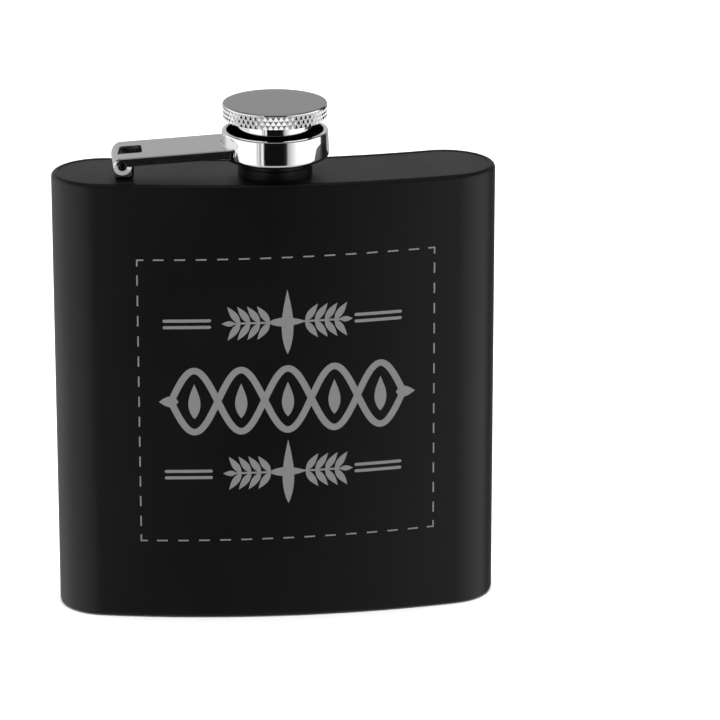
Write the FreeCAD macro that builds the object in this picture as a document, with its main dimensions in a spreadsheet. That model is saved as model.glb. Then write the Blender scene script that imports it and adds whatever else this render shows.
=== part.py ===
"""Hip flask with a captive screw cap on a hinged arm.

Millimetres, +Z up. The origin is the middle of the base's underside. The front is the outward
curved face, towards -Y, and the back is hollowed to lie against the hip. The neck stands at
x = 0, and the arm's hinge stands to its left, towards -X. The cap is drawn unscrewed and lifted
off its seat, which is where the arm is free to swing. Every piece above the top plate is drawn
from that plate's upper face, and its Placement lifts it there.
"""
import FreeCAD, Part
import math
import os
import re
import Sketcher

# alias, size in millimetres, meaning
SIZES = (
    ("body_width", 95.0, "across the two rounded ends"),
    ("body_depth", 22.0, "front to back, square to the curve"),
    ("bend_radius", 176.0, "of the section's centre line"),
    ("body_height", 97.25, "base to top rim"),
    ("wall_gauge", 0.7, "body sheet"),
    ("shoulder_radius", 1.0, "rounded rims at top and bottom"),
    ("rim_width", 1.5, "from the outside to the end plates"),
    ("plate_gauge", 0.7, "end plates"),
    ("plate_inset", 0.1, "top plate below the rim"),
    ("neck_bore", 5.75, "bore radius"),
    ("neck_root", 6.6, "thread root radius"),
    ("neck_crest", 7.3, "thread crest radius"),
    ("neck_spigot", 6.5, "radius through the plate"),
    ("neck_below", 1.2, "spigot below the plate's upper face"),
    ("neck_height", 8.2, "rim above the plate"),
    ("boss_radius", 7.9, "collar at the neck's foot"),
    ("boss_height", 1.9, "collar"),
    ("step_radius", 7.4, "second step of the collar"),
    ("step_height", 2.9, "second step"),
    ("thread_pitch", 1.2, "neck and cap"),
    ("tooth_root", 0.4, "half width of a tooth at its root"),
    ("tooth_crest", 0.14, "half width of a tooth at its crest"),
    ("tooth_bury", 0.12, "depth of a tooth's foot inside the wall that carries it"),
    ("neck_thread_start", 4.0, "first tooth's middle"),
    ("neck_thread_rise", 3.55, "along the axis"),
    ("cap_thread_start", 8.2, "first tooth's middle, half a pitch out from the neck's"),
    ("cap_thread_rise", 1.7, "along the axis"),
    ("cap_crest", 6.95, "thread crest radius"),
    ("sleeve_bore", 7.7, "inner radius"),
    ("sleeve_radius", 8.2, "outer radius"),
    ("sleeve_foot", 4.85, "underside of the swaged flange"),
    ("flange_radius", 9.3, "swaged flange"),
    ("flange_gauge", 0.6, "swaged flange"),
    ("sleeve_top", 13.3, "end of the sleeve in the head's groove"),
    ("head_radius", 11.2, "grip band"),
    ("head_foot", 12.05, "underside of the head"),
    ("head_top", 15.35, "upper face of the head"),
    ("head_edge", 0.25, "chamfer at the grip band's edges"),
    ("seal_radius", 7.6, "liner and gasket"),
    ("liner_gauge", 0.4, "backing disc"),
    ("gasket_gauge", 1.0, "sealing disc"),
    ("ring_radius", 11.6, "collar ring, outside"),
    ("ring_bore", 10.3, "collar ring, inside"),
    ("ring_foot", 3.6, "lower end of the ring"),
    ("ring_top", 9.45, "upper end of the ring"),
    ("ring_round", 1.1, "rounding of the ring's lower outer edge"),
    ("ring_edge", 0.3, "rounding of the ring's upper edges"),
    ("lip_bore", 8.55, "inner radius of the lip that holds the cap in the ring"),
    ("lip_foot", 6.0, "underside of the lip"),
    ("lip_gauge", 0.8, "thickness of the lip"),
    ("washer_bore", 8.28, "slip washer, inside"),
    ("washer_radius", 9.9, "slip washer, outside"),
    ("washer_foot", 5.5, "underside of the washer"),
    ("washer_gauge", 0.45, "slip washer"),
    ("pin_offset", 32.7, "hinge pin's axis left of the neck's axis"),
    ("pin_height", 3.95, "hinge pin's axis above the plate"),
    ("pin_radius", 0.55, "hinge pin"),
    ("pin_play", 0.05, "between the pin and the arm's ears"),
    ("pin_head_radius", 0.9, "flared ends of the pin"),
    ("pin_head_gauge", 0.3, "flared ends of the pin"),
    ("pin_dimple", 0.45, "radius and depth of the cone in each flared end"),
    ("arm_width", 14.2, "across the arm's flanges"),
    ("arm_gauge", 0.5, "arm sheet"),
    ("barrel_radius", 1.6, "curled hinge end of the arm"),
    ("curl_offset", 0.4, "curl's centre line left of the pin's axis"),
    ("ear_radius", 2.0, "ears round the pin"),
    ("arm_end", 9.0, "inner end of the arm, from the neck's axis, before it meets the ring"),
    ("arm_top_rise", 1.38, "climb of the arm's top from the curl to its inner end"),
    ("flange_edge_drop", 0.03, "flanges' lower edge below the pin's axis, at the hinge"),
    ("flange_edge_rise", 1.22, "climb of the flanges' lower edge"),
    ("curl_drop", 0.3, "how far the curled end runs below the pin's axis"),
    ("slot_width", 5.9, "slot for the lug's knuckle"),
    ("slot_left", 33.4, "outer end of the slot, from the neck's axis"),
    ("slot_right", 28.3, "inner end of the slot, from the neck's axis"),
    ("lug_width", 5.2, "hinge lug"),
    ("lug_gauge", 0.45, "strip that the lug is bent from"),
    ("lug_left", 34.0, "outer end of the lug's foot, from the neck's axis"),
    ("lug_right", 30.1, "upright of the lug, from the neck's axis"),
    ("lug_leaf_lift", 0.1, "underside of the lug's leaf above the pin's axis"),
    ("lug_bend", 0.9, "outside radius of the lug's bends"),
    ("knuckle_radius", 1.0, "rolled end of the lug round the pin"),
    ("overrun", 2.0, "how far a cut runs past the metal"),
)
SIZE = {alias: value for alias, value, meaning in SIZES}

# Height of the top plate's upper face.
DECK = "body_height - plate_inset"

doc = FreeCAD.newDocument("hip_flask")
sheet = doc.addObject("Spreadsheet::Sheet", "sizes")
for row, (alias, value, meaning) in enumerate(SIZES, start=1):
    sheet.set(f"A{row}", alias)
    sheet.set(f"B{row}", str(value))
    sheet.setAlias(f"B{row}", alias)
    sheet.set(f"C{row}", meaning)
doc.recompute()


# ---------------------------------------------------------------- helpers

def bind(item, target, text):
    """Tie a property to the sheet; a bare alias in text stands for its cell."""
    item.setExpression(target, re.sub(r"[a-z_]+", lambda word: sheet_name(word[0]), text))


def sheet_name(word):
    """A word of an expression, pointed at the sheet if it is an alias."""
    return f"sizes.{word}" if word in SIZE else word


def new_body(label, lift=None):
    """An empty body, raised by the expression lift."""
    body = doc.addObject("PartDesign::Body", label)
    body.Label = label
    if lift:
        bind(body, "Placement.Base.z", lift)
    return body


def new_sketch(body, name, role, lift=None):
    """A sketch on one of the body's own origin planes, raised off it by lift."""
    sketch = body.newObject("Sketcher::SketchObject", name)
    plane = [item for item in body.Origin.OriginFeatures if item.Role == role][0]
    sketch.AttachmentSupport = (plane, [""])
    sketch.MapMode = "FlatFace"
    if lift:
        bind(sketch, ".AttachmentOffset.Base.z", lift)
    return sketch


def dimension(sketch, name, text, kind, *place):
    """A driving constraint called name, whose value is the expression text."""
    number = sketch.addConstraint(Sketcher.Constraint(kind, *place))
    sketch.renameConstraint(number, name)
    bind(sketch, f"Constraints.{name}", text)


def polygon(body, name, role, corners, lift=None):
    """A closed outline of straight lines through corners, each a pair of expressions.

    The corners start evenly spaced on a circle, and their constraints pull them into place.
    """
    sketch = new_sketch(body, name, role, lift)
    count = len(corners)
    turns = [2 * math.pi * index / count for index in range(count)]
    starts = [FreeCAD.Vector(math.cos(turn), math.sin(turn), 0) for turn in turns]
    for index in range(count):
        sketch.addGeometry(Part.LineSegment(starts[index], starts[(index + 1) % count]), False)
    for index, (across, along) in enumerate(corners):
        sketch.addConstraint(Sketcher.Constraint("Coincident", index, 2, (index + 1) % count, 1))
        dimension(sketch, f"across{index}", across, "DistanceX", index, 1, starts[index].x)
        dimension(sketch, f"along{index}", along, "DistanceY", index, 1, starts[index].y)
    return sketch


def circle(body, name, role, across, along, radius, lift=None):
    """A circle whose centre and radius are expressions."""
    sketch = new_sketch(body, name, role, lift)
    sketch.addGeometry(Part.Circle(FreeCAD.Vector(1, 1, 0), FreeCAD.Vector(0, 0, 1), 1), False)
    dimension(sketch, "across", across, "DistanceX", 0, 3, 1.0)
    dimension(sketch, "along", along, "DistanceY", 0, 3, 1.0)
    dimension(sketch, "radius", radius, "Radius", 0, 1.0)
    return sketch


def rectangle(left, right, low, high):
    """Corners of an upright rectangle, for polygon()."""
    return [(left, low), (right, low), (right, high), (left, high)]


def section(body, name, inset, inset_size, lift=None):
    """The flask's cross-section, moved in by inset: two concentric arcs and two round ends."""
    sketch = new_sketch(body, name, "XY_Plane", lift)
    half = SIZE["body_depth"] / 2
    bend = SIZE["bend_radius"]
    reach = SIZE["body_width"] / 2 - half
    sweep = math.asin(reach / bend)
    low, high = -math.pi / 2 - sweep, -math.pi / 2 + sweep
    spine = FreeCAD.Vector(0, bend, 0)
    end_y = bend - math.sqrt(bend ** 2 - reach ** 2)
    arcs = (
        (spine, bend + half - inset_size, low, high),
        (FreeCAD.Vector(reach, end_y, 0), half - inset_size, high, high + math.pi),
        (spine, bend - half + inset_size, low, high),
        (FreeCAD.Vector(-reach, end_y, 0), half - inset_size, low + math.pi, low + 2 * math.pi),
    )
    for centre, radius, first, last in arcs:
        ring = Part.Circle(centre, FreeCAD.Vector(0, 0, 1), radius)
        sketch.addGeometry(Part.ArcOfCircle(ring, first, last), False)
    for joint in ((0, 2, 1, 1), (1, 2, 2, 2), (2, 1, 3, 1), (3, 2, 0, 1)):
        sketch.addConstraint(Sketcher.Constraint("Tangent", *joint))
    sketch.addConstraint(Sketcher.Constraint("PointOnObject", 0, 3, -2))
    sketch.addConstraint(Sketcher.Constraint("Coincident", 0, 3, 2, 3))
    end_x = "body_width / 2 - body_depth / 2"
    dimension(sketch, "spine", "bend_radius", "DistanceY", 0, 3, bend)
    dimension(sketch, "front", f"bend_radius + body_depth / 2 - ({inset})", "Radius", 0,
              bend + half - inset_size)
    dimension(sketch, "back", f"bend_radius - body_depth / 2 + ({inset})", "Radius", 2,
              bend - half + inset_size)
    dimension(sketch, "right", end_x, "DistanceX", 1, 3, reach)
    dimension(sketch, "left", f"-({end_x})", "DistanceX", 3, 3, -reach)
    return sketch


def extrude(body, kind, name, sketch, length, both_ways=False, turned=False):
    """A Pad or Pocket of sketch."""
    feature = body.newObject(f"PartDesign::{kind}", name)
    feature.Profile = sketch
    bind(feature, "Length", length)
    if both_ways:
        feature.SideType = "Symmetric"
    feature.Reversed = turned
    doc.recompute()
    return feature


def pad(body, name, sketch, length, **ways):
    return extrude(body, "Pad", name, sketch, length, **ways)


def pocket(body, name, sketch, length, **ways):
    """A cut, which must remove metal."""
    before = body.Shape.Volume
    feature = extrude(body, "Pocket", name, sketch, length, **ways)
    if body.Shape.Volume >= before - 1e-6:
        raise RuntimeError(f"{body.Label}: {name} cuts nothing")
    return feature


def revolve(body, name, corners):
    """A full turn of an outline about the neck's axis; corners are (radius, height) pairs."""
    sketch = polygon(body, name + "_outline", "XZ_Plane", corners)
    feature = body.newObject("PartDesign::Revolution", name)
    feature.Profile = sketch
    feature.ReferenceAxis = (sketch, ["V_Axis"])
    feature.Angle = 360
    doc.recompute()
    return feature


def edges_where(feature, test):
    """Names of the feature's edges whose box (low corner, high corner) passes test."""
    names = []
    for number, edge in enumerate(feature.Shape.Edges, start=1):
        box = edge.BoundBox
        if test(box):
            names.append(f"Edge{number}")
    if not names:
        raise RuntimeError(f"{feature.Name}: no edge to dress")
    return names


def flat_at(height):
    """Test for edges that lie wholly at one height."""
    return lambda box: max(abs(box.ZMin - height), abs(box.ZMax - height)) < 1e-4


def circle_at(height, radius):
    """Test for a whole circle about the neck's axis."""
    return lambda box: flat_at(height)(box) and abs(box.XMax - radius) < 1e-3


def bend_at(left, height):
    """Test for a straight edge along Y through one point of the side view."""
    return lambda box: (abs(box.XMin - left) < 1e-4 and abs(box.XMax - left) < 1e-4
                        and flat_at(height)(box))


def fillet(body, name, base, radius, test):
    feature = body.newObject("PartDesign::Fillet", name)
    feature.Base = (base, edges_where(base, test))
    bind(feature, "Radius", radius)
    doc.recompute()
    return feature


def thread(body, name, start, rise, foot, crest):
    """A right-handed screw thread, from the radius foot inside the wall to the radius crest."""
    corners = [
        (foot, f"{start} - tooth_root"),
        (crest, f"{start} - tooth_crest"),
        (crest, f"{start} + tooth_crest"),
        (foot, f"{start} + tooth_root"),
    ]
    sketch = polygon(body, name + "_tooth", "XZ_Plane", corners)
    feature = body.newObject("PartDesign::AdditiveHelix", name)
    feature.Profile = sketch
    feature.ReferenceAxis = (sketch, ["V_Axis"])
    feature.Mode = "pitch-height-angle"
    bind(feature, "Pitch", "thread_pitch")
    bind(feature, "Height", rise)
    feature.LeftHanded = False
    doc.recompute()
    return feature


# ---------------------------------------------------------------- flask

def make_body_wall():
    """The curved sheet wall, with its rims rolled in to hold the end plates."""
    body = new_body("body_wall")
    block = pad(body, "block", section(body, "outside", "0", 0), "body_height")
    height = SIZE["body_height"]
    fillet(body, "shoulders", block, "shoulder_radius",
           lambda box: flat_at(0)(box) or flat_at(height)(box))
    mouth = section(body, "mouth", "rim_width", SIZE["rim_width"])
    pocket(body, "through", mouth, "body_height", turned=True)
    inside = section(body, "inside", "wall_gauge", SIZE["wall_gauge"], lift="shoulder_radius")
    pocket(body, "chamber", inside, "body_height - 2 * shoulder_radius", turned=True)
    return body


def make_top_plate():
    """The sheet that closes the top, with the neck's hole."""
    body = new_body("top_plate", lift=DECK)
    outline = section(body, "outline", "rim_width", SIZE["rim_width"])
    pad(body, "sheet", outline, "plate_gauge", turned=True)
    hole = circle(body, "neck_hole", "XY_Plane", "0", "0", "neck_spigot")
    pocket(body, "opening", hole, "plate_gauge")
    return body


def make_base_plate():
    """The sheet that closes the bottom, flush with the lower rim."""
    body = new_body("base_plate")
    pad(body, "sheet", section(body, "outline", "rim_width", SIZE["rim_width"]), "plate_gauge")
    return body


def make_neck():
    """The threaded neck, with a stepped collar that stands on the top plate."""
    body = new_body("neck", lift=DECK)
    revolve(body, "turning", [
        ("neck_bore", "-neck_below"),
        ("neck_spigot", "-neck_below"),
        ("neck_spigot", "0"),
        ("boss_radius", "0"),
        ("boss_radius", "boss_height"),
        ("step_radius", "boss_height"),
        ("step_radius", "step_height"),
        ("neck_root", "step_height"),
        ("neck_root", "neck_height"),
        ("neck_bore", "neck_height"),
    ])
    thread(body, "thread", "neck_thread_start", "neck_thread_rise",
           "neck_root - tooth_bury", "neck_crest")
    return body


def make_hinge_lug():
    """A strip bent into a C on the top plate, with its upper end rolled round the pin."""
    body = new_body("hinge_lug", lift=DECK)
    outline = polygon(body, "strip_outline", "XZ_Plane", [
        ("-lug_left", "0"),
        ("-lug_right", "0"),
        ("-lug_right", "pin_height + lug_leaf_lift + lug_gauge"),
        ("-pin_offset", "pin_height + lug_leaf_lift + lug_gauge"),
        ("-pin_offset", "pin_height + lug_leaf_lift"),
        ("-lug_right - lug_gauge", "pin_height + lug_leaf_lift"),
        ("-lug_right - lug_gauge", "lug_gauge"),
        ("-lug_left", "lug_gauge"),
    ])
    strip = pad(body, "strip", outline, "lug_width", both_ways=True)
    back = -SIZE["lug_right"]
    inner = back - SIZE["lug_gauge"]
    leaf_low = SIZE["pin_height"] + SIZE["lug_leaf_lift"]
    leaf_high = leaf_low + SIZE["lug_gauge"]
    outer_bends = fillet(
        body, "outer_bends", strip, "lug_bend",
        lambda box: bend_at(back, 0)(box) or bend_at(back, leaf_high)(box))
    fillet(
        body, "inner_bends", outer_bends, "lug_bend - lug_gauge",
        lambda box: bend_at(inner, SIZE["lug_gauge"])(box) or bend_at(inner, leaf_low)(box))
    roll = circle(body, "roll", "XZ_Plane", "-pin_offset", "pin_height", "knuckle_radius")
    pad(body, "knuckle", roll, "lug_width", both_ways=True)
    hole = circle(body, "hole", "XZ_Plane", "-pin_offset", "pin_height", "pin_radius")
    pocket(body, "pin_hole", hole, "lug_width + overrun", both_ways=True)
    return body


def make_hinge_pin():
    """The pin, fast in the lug, with flared and dimpled ends outside the arm's ears."""
    shank = doc.addObject("Part::Cylinder", "shank")
    bind(shank, "Radius", "pin_radius")
    bind(shank, "Height", "arm_width + 2 * pin_head_gauge")
    bind(shank, "Placement.Base.z", "-(arm_width / 2 + pin_head_gauge)")
    solid = shank
    for side, low in (("lower", "-(arm_width / 2 + pin_head_gauge)"), ("upper", "arm_width / 2")):
        head = doc.addObject("Part::Cylinder", f"{side}_head")
        bind(head, "Radius", "pin_head_radius")
        bind(head, "Height", "pin_head_gauge - pin_play")
        shift = "0" if side == "lower" else "pin_play"
        bind(head, "Placement.Base.z", f"{low} + {shift}")
        joined = doc.addObject("Part::Fuse", f"{side}_joined")
        joined.Base = solid
        joined.Tool = head
        solid = joined
    for side, mouth, turn in (("lower", "-(arm_width / 2 + pin_head_gauge)", 0),
                              ("upper", "arm_width / 2 + pin_head_gauge", 180)):
        dimple = doc.addObject("Part::Cone", f"{side}_dimple")
        bind(dimple, "Radius1", "pin_dimple")
        bind(dimple, "Radius2", "0")
        bind(dimple, "Height", "pin_dimple")
        dimple.Placement.Rotation = FreeCAD.Rotation(FreeCAD.Vector(1, 0, 0), turn)
        bind(dimple, "Placement.Base.z", mouth)
        drilled = doc.addObject("Part::Cut", f"{side}_drilled")
        drilled.Base = solid
        drilled.Tool = dimple
        solid = drilled
    solid.Label = "hinge_pin"
    solid.Placement.Rotation = FreeCAD.Rotation(FreeCAD.Vector(1, 0, 0), 90)
    bind(solid, "Placement.Base.x", "-pin_offset")
    bind(solid, "Placement.Base.z", f"{DECK} + pin_height")
    doc.recompute()
    return solid


# ---------------------------------------------------------------- arm and ring

def make_cap_arm():
    """The pressed channel from the hinge to the ring: a top strap with a flange on each side."""
    body = new_body("cap_arm", lift=DECK)
    crown = "pin_height + barrel_radius"
    curl_middle = "-pin_offset - curl_offset"
    ears = circle(body, "ear_outline", "XZ_Plane", "-pin_offset", "pin_height", "ear_radius")
    pad(body, "ears", ears, "arm_width", both_ways=True)
    upper = polygon(body, "upper_outline", "XZ_Plane", rectangle(
        "-pin_offset - ear_radius - overrun", "-pin_offset + ear_radius + overrun",
        "pin_height", "pin_height + ear_radius + overrun"))
    pocket(body, "upper_half", upper, "arm_width + overrun", both_ways=True)
    web = polygon(body, "web_outline", "XZ_Plane", [
        (curl_middle, "pin_height - flange_edge_drop"),
        ("-arm_end", "pin_height - flange_edge_drop + flange_edge_rise"),
        ("-arm_end", f"{crown} + arm_top_rise"),
        (curl_middle, crown),
    ])
    pad(body, "web", web, "arm_width", both_ways=True)
    barrel = circle(body, "barrel_outline", "XZ_Plane", curl_middle, "pin_height",
                    "barrel_radius")
    pad(body, "barrel", barrel, "arm_width", both_ways=True)
    seat = circle(body, "ring_outline", "XY_Plane", "0", "0", "ring_radius")
    pocket(body, "ring_seat", seat, "head_top", turned=True)
    within = "arm_width - 2 * arm_gauge"
    whole_rise = "arm_top_rise * (pin_offset + curl_offset) / (pin_offset + curl_offset - arm_end)"
    trough = polygon(body, "trough_outline", "XZ_Plane", [
        (curl_middle, "0"),
        ("0", "0"),
        ("0", f"{crown} - arm_gauge + {whole_rise}"),
        (curl_middle, f"{crown} - arm_gauge"),
    ])
    pocket(body, "trough", trough, within, both_ways=True)
    bend = circle(body, "curl_outline", "XZ_Plane", curl_middle, "pin_height",
                  "barrel_radius - arm_gauge")
    pocket(body, "curl", bend, within, both_ways=True)
    below = polygon(body, "below_outline", "XZ_Plane", rectangle(
        "-pin_offset - ear_radius - overrun", "-pin_offset", "0", "pin_height - curl_drop"))
    pocket(body, "curl_end", below, within, both_ways=True)
    slot = polygon(body, "slot_outline", "XY_Plane", rectangle(
        "-slot_left", "-slot_right", "-slot_width / 2", "slot_width / 2"), lift="pin_height")
    pocket(body, "slot", slot, "head_top", turned=True)
    eye = circle(body, "eye_outline", "XZ_Plane", "-pin_offset", "pin_height",
                 "pin_radius + pin_play")
    pocket(body, "pin_eyes", eye, "arm_width + overrun", both_ways=True)
    return body


def make_cap_ring():
    """The ring at the arm's end, with an inner lip that keeps the cap from lifting out."""
    body = new_body("cap_ring", lift=DECK)
    turning = revolve(body, "turning", [
        ("ring_bore", "ring_foot"),
        ("ring_radius", "ring_foot"),
        ("ring_radius", "ring_top"),
        ("ring_bore", "ring_top"),
        ("ring_bore", "lip_foot + lip_gauge"),
        ("lip_bore", "lip_foot + lip_gauge"),
        ("lip_bore", "lip_foot"),
        ("ring_bore", "lip_foot"),
    ])
    foot = fillet(body, "foot_round", turning, "ring_round",
                  circle_at(SIZE["ring_foot"], SIZE["ring_radius"]))
    fillet(body, "top_rounds", foot, "ring_edge",
           lambda box: circle_at(SIZE["ring_top"], SIZE["ring_radius"])(box)
           or circle_at(SIZE["ring_top"], SIZE["ring_bore"])(box))
    return body


# ---------------------------------------------------------------- cap

def make_slip_washer():
    """The loose washer between the ring's lip and the sleeve's flange."""
    body = new_body("slip_washer", lift=DECK)
    revolve(body, "turning", rectangle(
        "washer_bore", "washer_radius", "washer_foot", "washer_foot + washer_gauge"))
    return body


def make_cap_sleeve():
    """The threaded sleeve, swaged out at its foot under the washer."""
    body = new_body("cap_sleeve", lift=DECK)
    revolve(body, "turning", [
        ("sleeve_bore", "sleeve_foot"),
        ("flange_radius", "sleeve_foot"),
        ("flange_radius", "sleeve_foot + flange_gauge"),
        ("sleeve_radius", "sleeve_foot + flange_gauge"),
        ("sleeve_radius", "sleeve_top"),
        ("sleeve_bore", "sleeve_top"),
    ])
    thread(body, "thread", "cap_thread_start", "cap_thread_rise",
           "sleeve_bore + tooth_bury", "cap_crest")
    return body


def make_cap_head():
    """The grip disc, pressed onto the sleeve's upper end."""
    body = new_body("cap_head", lift=DECK)
    revolve(body, "turning", [
        ("0", "head_foot"),
        ("sleeve_bore", "head_foot"),
        ("sleeve_bore", "sleeve_top"),
        ("sleeve_radius", "sleeve_top"),
        ("sleeve_radius", "head_foot"),
        ("head_radius - head_edge", "head_foot"),
        ("head_radius", "head_foot + head_edge"),
        ("head_radius", "head_top - head_edge"),
        ("head_radius - head_edge", "head_top"),
        ("0", "head_top"),
    ])
    return body


def make_seal(label, gauge, below):
    """A disc inside the sleeve, below the head's underside by the expression below."""
    disc = doc.addObject("Part::Cylinder", label)
    disc.Label = label
    bind(disc, "Radius", "seal_radius")
    bind(disc, "Height", gauge)
    bind(disc, "Placement.Base.z", f"{DECK} + head_foot - ({below})")
    doc.recompute()
    return disc


# ---------------------------------------------------------------- build and write

def check(pieces):
    """Stop unless every object is up to date and every piece is a valid closed solid."""
    for item in doc.Objects:
        if "Invalid" in item.State or "Error" in item.State:
            raise RuntimeError(f"{item.Name} failed: {item.State}")
    for piece in pieces:
        shape = piece.Shape
        if shape.isNull() or not shape.isValid() or len(shape.Solids) != 1:
            raise RuntimeError(f"{piece.Label} is not one valid solid")


parts = [
    make_body_wall(),
    make_top_plate(),
    make_base_plate(),
    make_neck(),
    make_hinge_lug(),
    make_hinge_pin(),
    make_cap_arm(),
    make_cap_ring(),
    make_slip_washer(),
    make_cap_sleeve(),
    make_cap_head(),
    make_seal("cap_liner", "liner_gauge", "liner_gauge"),
    make_seal("gasket", "gasket_gauge", "liner_gauge + gasket_gauge"),
]
doc.recompute()
check(parts)

os.makedirs("parts", exist_ok=True)
for part in parts:
    part.Shape.exportStep(f"parts/{part.Label}.step")
    print(f"{part.Label:12s} {part.Shape.Volume:10.2f} mm3")
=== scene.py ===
"""Looks of the hip flask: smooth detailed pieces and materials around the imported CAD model."""

import math

import bmesh
import bpy
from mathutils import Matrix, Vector


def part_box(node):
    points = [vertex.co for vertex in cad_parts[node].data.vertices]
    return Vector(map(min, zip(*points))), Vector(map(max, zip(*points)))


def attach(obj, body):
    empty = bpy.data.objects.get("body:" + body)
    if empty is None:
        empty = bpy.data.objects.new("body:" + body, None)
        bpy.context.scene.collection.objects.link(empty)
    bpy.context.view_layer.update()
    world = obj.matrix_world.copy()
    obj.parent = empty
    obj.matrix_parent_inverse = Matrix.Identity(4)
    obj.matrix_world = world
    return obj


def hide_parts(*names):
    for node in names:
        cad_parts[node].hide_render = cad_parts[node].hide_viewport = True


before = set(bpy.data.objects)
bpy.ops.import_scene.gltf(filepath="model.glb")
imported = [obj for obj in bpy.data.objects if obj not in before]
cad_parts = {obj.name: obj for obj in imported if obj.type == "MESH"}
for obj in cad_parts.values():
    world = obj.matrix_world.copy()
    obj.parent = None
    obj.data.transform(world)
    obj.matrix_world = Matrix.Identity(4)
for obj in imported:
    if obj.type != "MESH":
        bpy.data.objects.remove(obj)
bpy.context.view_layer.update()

MM = 0.001
TURN = 2 * math.pi


# ------------------------------------------------------------ sizes, from the frame

def low(node):
    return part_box(node)[0]


def high(node):
    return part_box(node)[1]


WALL_TOP = high("body_wall").z
WALL_HALF_WIDTH = high("body_wall").x
WALL_HALF_DEPTH = -low("body_wall").y
BEND_RADIUS = 176 * MM
SHOULDER = 1.0 * MM
RIM_WIDTH = 1.5 * MM
WALL_GAUGE = 0.7 * MM
DECK = high("top_plate").z
RING_RADIUS = high("cap_ring").y
RING_BORE = RING_RADIUS - 1.3 * MM


# ------------------------------------------------------------ mesh helpers

def raw_object(name, verts, faces):
    """A plain mesh object."""
    mesh = bpy.data.meshes.new(name)
    mesh.from_pydata(verts, [], faces)
    mesh.validate()
    made = bpy.data.objects.new(name, mesh)
    bpy.context.scene.collection.objects.link(made)
    return made


def new_piece(name, verts, faces, body, material, nodes=(), crease=35):
    """Make a mesh object and finish it."""
    finish_piece(raw_object(name, verts, faces), body, material, nodes, crease)


def finish_piece(piece, body, material, nodes=(), crease=35):
    """Shade an object smooth, with creases sharper than crease degrees, and ride it on a body."""
    mesh = piece.data
    mesh.polygons.foreach_set("use_smooth", [True] * len(mesh.polygons))
    mesh.set_sharp_from_angle(angle=math.radians(crease))
    mesh.materials.clear()
    mesh.materials.append(material)
    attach(piece, body)
    if nodes:
        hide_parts(*nodes)


def rounded(corners, steps=6):
    """A closed profile in which each (across, up, radius) corner is turned by an arc of steps."""
    outline = []
    count = len(corners)
    for index, (across, up, radius) in enumerate(corners):
        here = Vector((across, up))
        if radius == 0:
            outline.append(here)
            continue
        before = Vector(corners[index - 1][:2]) - here
        after = Vector(corners[(index + 1) % count][:2]) - here
        before.normalize()
        after.normalize()
        half = before.angle(after) / 2
        setback = radius / math.tan(half)
        middle = here + (before + after).normalized() * (radius / math.sin(half))
        first = here + before * setback - middle
        last = here + after * setback - middle
        sweep = first.angle_signed(last)
        for step in range(steps + 1):
            turn = sweep * step / steps
            spun = Vector((first.x * math.cos(turn) + first.y * math.sin(turn),
                           first.y * math.cos(turn) - first.x * math.sin(turn)))
            outline.append(middle + spun)
    return outline


def bridge(rings, around, closed=True, start=0):
    """Faces that join rings of around vertices in order, and the last to the first if closed."""
    faces = []
    for ring in range(rings if closed else rings - 1):
        here, there = start + ring * around, start + (ring + 1) % rings * around
        for step in range(around):
            after = (step + 1) % around
            faces.append((here + step, here + after, there + after, there + step))
    return faces


def lathe(profile, segments):
    """Vertices and faces of a closed (radius, height) profile turned about the vertical axis."""
    verts = []
    for step in range(segments):
        turn = TURN * step / segments
        verts += [(radius * math.cos(turn), radius * math.sin(turn), height)
                  for radius, height in profile]
    return verts, bridge(segments, len(profile))


def drawn_out(name, low_end, high_end):
    """A closed prism between two outlines that match point by point."""
    count = len(low_end)
    faces = bridge(2, count, closed=False)
    faces += [list(reversed(range(count))), list(range(count, 2 * count))]
    made = raw_object(name, low_end + high_end, faces)
    turn_outwards(made)
    return made


def prism(name, outline, low_y, high_y):
    """A closed prism: an outline of (x, z) points drawn out along Y."""
    return drawn_out(name, [(x, low_y, z) for x, z in outline],
                     [(x, high_y, z) for x, z in outline])


def tower(name, outline, low_z, high_z):
    """A closed upright prism: an outline of (x, y) points drawn out along Z."""
    return drawn_out(name, [(x, y, low_z) for x, y in outline],
                     [(x, y, high_z) for x, y in outline])


def turn_outwards(thing, weld=False):
    """Make all faces of a closed mesh face outwards, once its double points are joined if asked."""
    work = bmesh.new()
    work.from_mesh(thing.data)
    if weld:
        bmesh.ops.remove_doubles(work, verts=work.verts, dist=MM / 1000)
    bmesh.ops.recalc_face_normals(work, faces=work.faces)
    work.to_mesh(thing.data)
    work.free()


def disc(x, z, radius, steps):
    """An outline: a whole circle."""
    return [(x + radius * math.cos(TURN * k / steps), z + radius * math.sin(TURN * k / steps))
            for k in range(steps)]


def arc(x, z, radius, first, last, steps):
    """Points of an arc from first to last degrees."""
    turns = [math.radians(first + (last - first) * k / steps) for k in range(steps + 1)]
    return [(x + radius * math.cos(turn), z + radius * math.sin(turn)) for turn in turns]


def soften(thing, radius):
    """Round every edge sharper than 40 degrees."""
    bevel = thing.modifiers.new("edges", "BEVEL")
    bevel.width = radius
    bevel.segments = 2
    bevel.limit_method = "ANGLE"
    bevel.angle_limit = math.radians(40)
    bevel.use_clamp_overlap = True
    settle(thing)


def combine(thing, other, operation="DIFFERENCE"):
    """Cut other away from thing, or add it, and delete other."""
    cut = thing.modifiers.new("cut", "BOOLEAN")
    cut.operation = operation
    cut.solver = "EXACT"
    cut.object = other
    settle(thing)
    bpy.data.objects.remove(other)


def even_normals(thing):
    """Keep flat faces flat where smooth shading meets them."""
    weighted = thing.modifiers.new("normals", "WEIGHTED_NORMAL")
    weighted.mode = "FACE_AREA"
    weighted.weight = 100
    weighted.keep_sharp = True
    settle(thing)


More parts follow.
